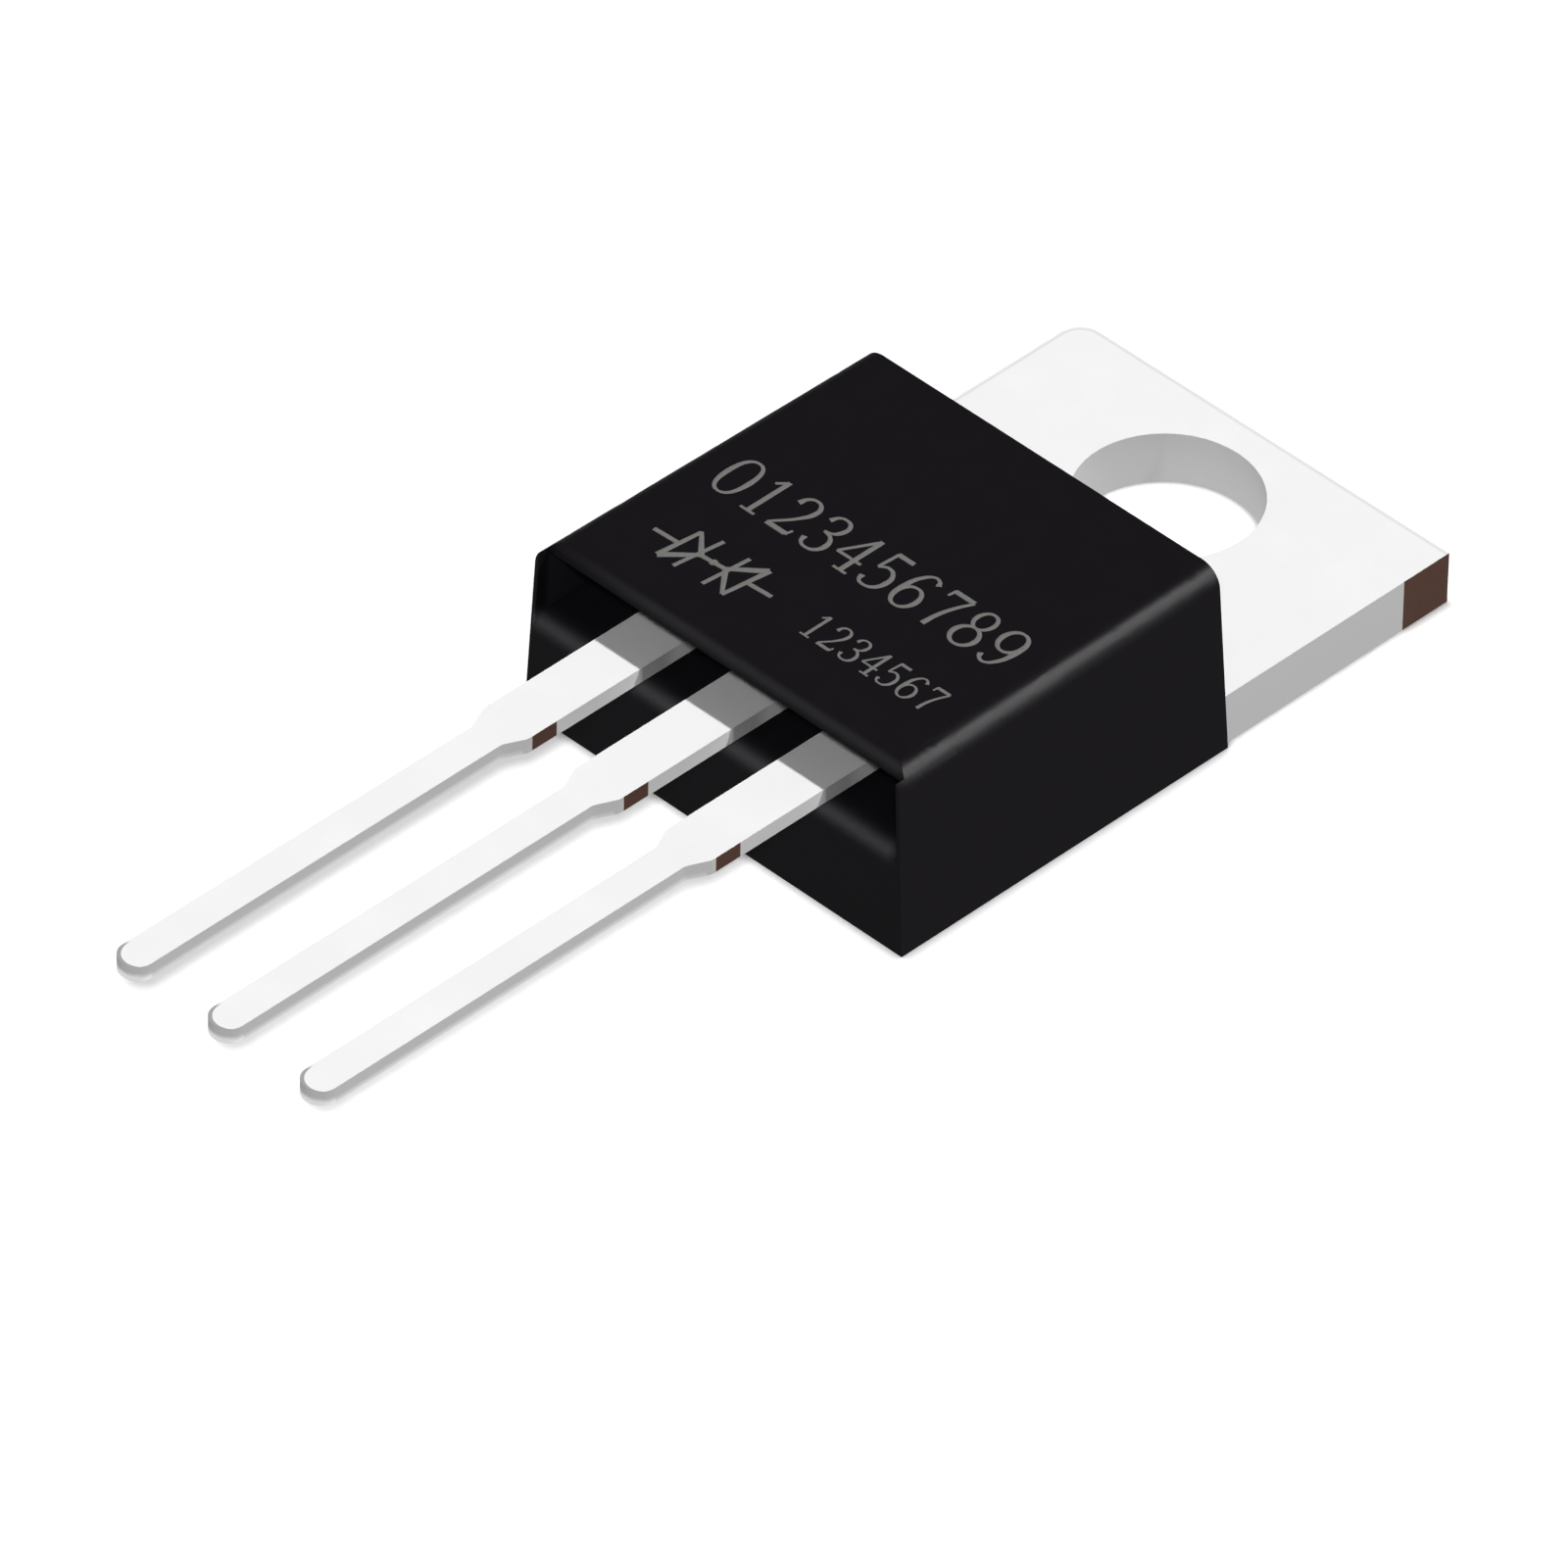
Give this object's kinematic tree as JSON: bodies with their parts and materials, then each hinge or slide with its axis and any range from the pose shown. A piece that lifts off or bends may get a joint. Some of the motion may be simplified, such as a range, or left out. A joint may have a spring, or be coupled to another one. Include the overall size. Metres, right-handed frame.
{
  "type": "schottky diode",
  "caption": "Moulded power rectifier with in-line leads that come out of a mouth at one end, and a drilled metal mounting tab at the other.",
  "frame": {"origin": "centre of the mounting hole at the tab's back face", "axes": "+Z out of the marked face, +Y to the free end of the tab, +X across the leads to the right"},
  "size_m": [0.0104, 0.029, 0.0044],
  "materials": {
    "moulding": "satin black epoxy moulding compound",
    "tinned_metal": "matt tin plating over copper",
    "silicon": "metallised chip",
    "solder": "dull solder",
    "bond_wire": "drawn aluminium"
  },
  "bodies": {
    "root": {"moulded_body": "moulding", "tab_and_centre_lead": "tinned_metal", "anode_lead_left": "tinned_metal", "anode_lead_right": "tinned_metal", "die_left": "silicon", "die_right": "silicon", "solder_left": "solder", "solder_right": "solder", "wire_left_inner": "bond_wire", "wire_left_outer": "bond_wire", "wire_right_inner": "bond_wire", "wire_right_outer": "bond_wire"}
  },
  "joints": []
}
